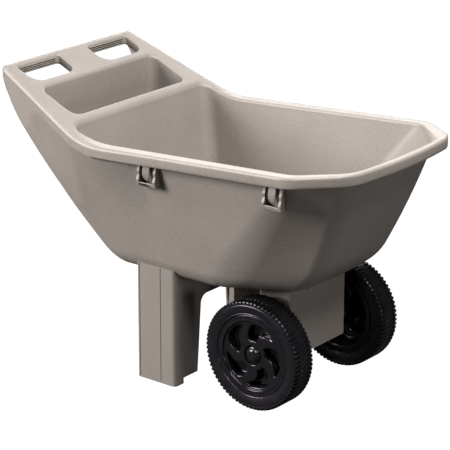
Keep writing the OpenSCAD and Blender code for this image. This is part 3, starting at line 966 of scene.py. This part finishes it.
SOOT = (0.004, 0.0036, 0.0042)
COOL = (0.95, 0.87, 1.0)
TAUPE = plastic("taupe_plastic", (0.190, 0.165, 0.145), (0.312, 0.277, 0.250), 0.40, 900, 0.3, 0.75, 0.38)
BLACK = plastic("black_plastic", SOOT, (0.0075, 0.0068, 0.008), 0.17, 600, 0.08, tint=COOL)
RUBBER = plastic("tyre_rubber", SOOT, (0.008, 0.0072, 0.0084), 0.27, 500, 0.2, tint=COOL)
CAP = plastic("cap_plastic", (0.006, 0.0045, 0.005), (0.010, 0.008, 0.009), 0.16, 600, 0.04)
BUSH = plastic("bush_plastic", (0.62, 0.61, 0.57), (0.72, 0.71, 0.67), 0.5)
STEEL = steel_material("zinc_steel", (0.48, 0.48, 0.50), (0.66, 0.66, 0.68))
DARK_STEEL = steel_material("blackened_steel", (0.05, 0.045, 0.04), (0.10, 0.09, 0.08))


def dress(obj, mat):
    if obj.data.materials:
        for slot in obj.material_slots:
            slot.link = "OBJECT"
            slot.material = mat
    else:
        obj.data.materials.append(mat)


dress(tub, TAUPE)
for piece in clips + [stand, bracket]:
    dress(piece, TAUPE)
for piece, part in wheels:
    dress(piece, {"tyre": RUBBER, "rim": BLACK, "hub_cap": CAP}[part])

for node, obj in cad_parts.items():
    if node in ("tub", "rear_stand", "axle_bracket") or node.endswith("_clip"):
        dress(obj, TAUPE)
    elif node.endswith(("_spacer", "_rim", "_tyre", "_cap")):
        dress(obj, BLACK)
    elif node.endswith("_bush"):
        dress(obj, BUSH)
    elif node == "clip_screws":
        dress(obj, DARK_STEEL)
    else:
        dress(obj, STEEL)


# ---------------------------------------------------------------- floor, light, camera

def add_floor():
    mesh = bpy.data.meshes.new("floor")
    s = 30.0
    mesh.from_pydata([(-s, -s, 0), (s, -s, 0), (s, s, 0), (-s, s, 0)], [], [(0, 1, 2, 3)])
    obj = bpy.data.objects.new("floor", mesh)
    bpy.context.scene.collection.objects.link(obj)
    obj.location = (0, 0, -0.001)
    mat, nt, bsdf = node_material("pale_floor")
    v = coords(nt, (1, 1, 1))
    nt.links.new(ramp(nt, noise(nt, v, 3.0), [(0.3, (0.012, 0.012, 0.012)), (0.7, (0.018, 0.018, 0.018))]),
                 bsdf.inputs["Base Color"])
    bsdf.inputs["Roughness"].default_value = 0.9
    # a lit white sweep: it shows white to the camera and throws little light up under the cart
    glow = nt.nodes.new("ShaderNodeEmission")
    glow.inputs["Strength"].default_value = 1.1
    path = nt.nodes.new("ShaderNodeLightPath")
    blend = nt.nodes.new("ShaderNodeMixShader")
    nt.links.new(path.outputs["Is Camera Ray"], blend.inputs["Fac"])
    nt.links.new(bsdf.outputs["BSDF"], blend.inputs[1])
    nt.links.new(glow.outputs["Emission"], blend.inputs[2])
    nt.links.new(blend.outputs["Shader"], nt.nodes["Material Output"].inputs["Surface"])
    obj.data.materials.append(mat)


def area_light(name, at, towards, size, power, colour=(1, 1, 1), gloss_only=False):
    data = bpy.data.lights.new(name, "AREA")
    data.shape = "RECTANGLE"
    data.size, data.size_y = size
    data.energy = power
    data.color = colour
    obj = bpy.data.objects.new(name, data)
    bpy.context.scene.collection.objects.link(obj)
    obj.location = at
    obj.rotation_euler = (Vector(towards) - Vector(at)).to_track_quat("-Z", "Y").to_euler()
    obj.visible_diffuse = not gloss_only


def set_world(colour, strength, seen):
    """Soft light from all round; the camera sees plain white."""
    world = bpy.data.worlds.new("studio")
    bpy.context.scene.world = world
    world.use_nodes = True
    nt = world.node_tree
    bg = nt.nodes["Background"]
    bg.inputs["Color"].default_value = (*colour, 1)
    path = nt.nodes.new("ShaderNodeLightPath")
    pick = nt.nodes.new("ShaderNodeMapRange")
    pick.inputs["To Min"].default_value = strength
    pick.inputs["To Max"].default_value = seen
    nt.links.new(path.outputs["Is Camera Ray"], pick.inputs["Value"])
    nt.links.new(pick.outputs["Result"], bg.inputs["Strength"])


def add_camera():
    data = bpy.data.cameras.new("camera")
    obj = bpy.data.objects.new("camera", data)
    bpy.context.scene.collection.objects.link(obj)
    azimuth, elevation, roll = (math.radians(a) for a in (38.371, 18.419, 0.082))
    at = (2.8458, -3.6149, 1.9239)
    level = math.cos(elevation)
    back = Vector((math.sin(azimuth) * level, -math.cos(azimuth) * level, math.sin(elevation)))
    right = Vector((math.cos(azimuth), math.sin(azimuth), 0))
    up = back.cross(right)
    r = right * math.cos(roll) + up * math.sin(roll)
    u = -right * math.sin(roll) + up * math.cos(roll)
    obj.matrix_world = Matrix((*((r[i], u[i], back[i], at[i]) for i in range(3)), (0, 0, 0, 1)))
    data.sensor_width = 36
    data.lens = 36 * 4.68
    data.shift_x, data.shift_y = 0.006, -0.052
    data.clip_end = 60
    bpy.context.scene.camera = obj


add_floor()
set_world((1.0, 1.0, 1.0), 0.055, 1.1)
area_light("key", (-2.8, -3.4, 2.0), (0, 0, 0.4), (2.0, 2.0), 345, (1.0, 0.99, 0.985))
area_light("top", (1.2, -0.3, 3.5), (0, 0, 0.4), (2.4, 2.4), 246)
area_light("front", (4.2, -0.35, 0.8), (0, 0, 0.4), (1.0, 0.7), 29)
area_light("gleam", (2.4, -1.8, 3.2), (0, 0, 0.5), (0.6, 0.6), 55, gloss_only=True)
area_light("sheen", (-2.6, 3.4, 2.3), (0, 0, 0.5), (3.0, 1.4), 78)
bpy.context.scene.view_settings.view_transform = "Standard"
add_camera()
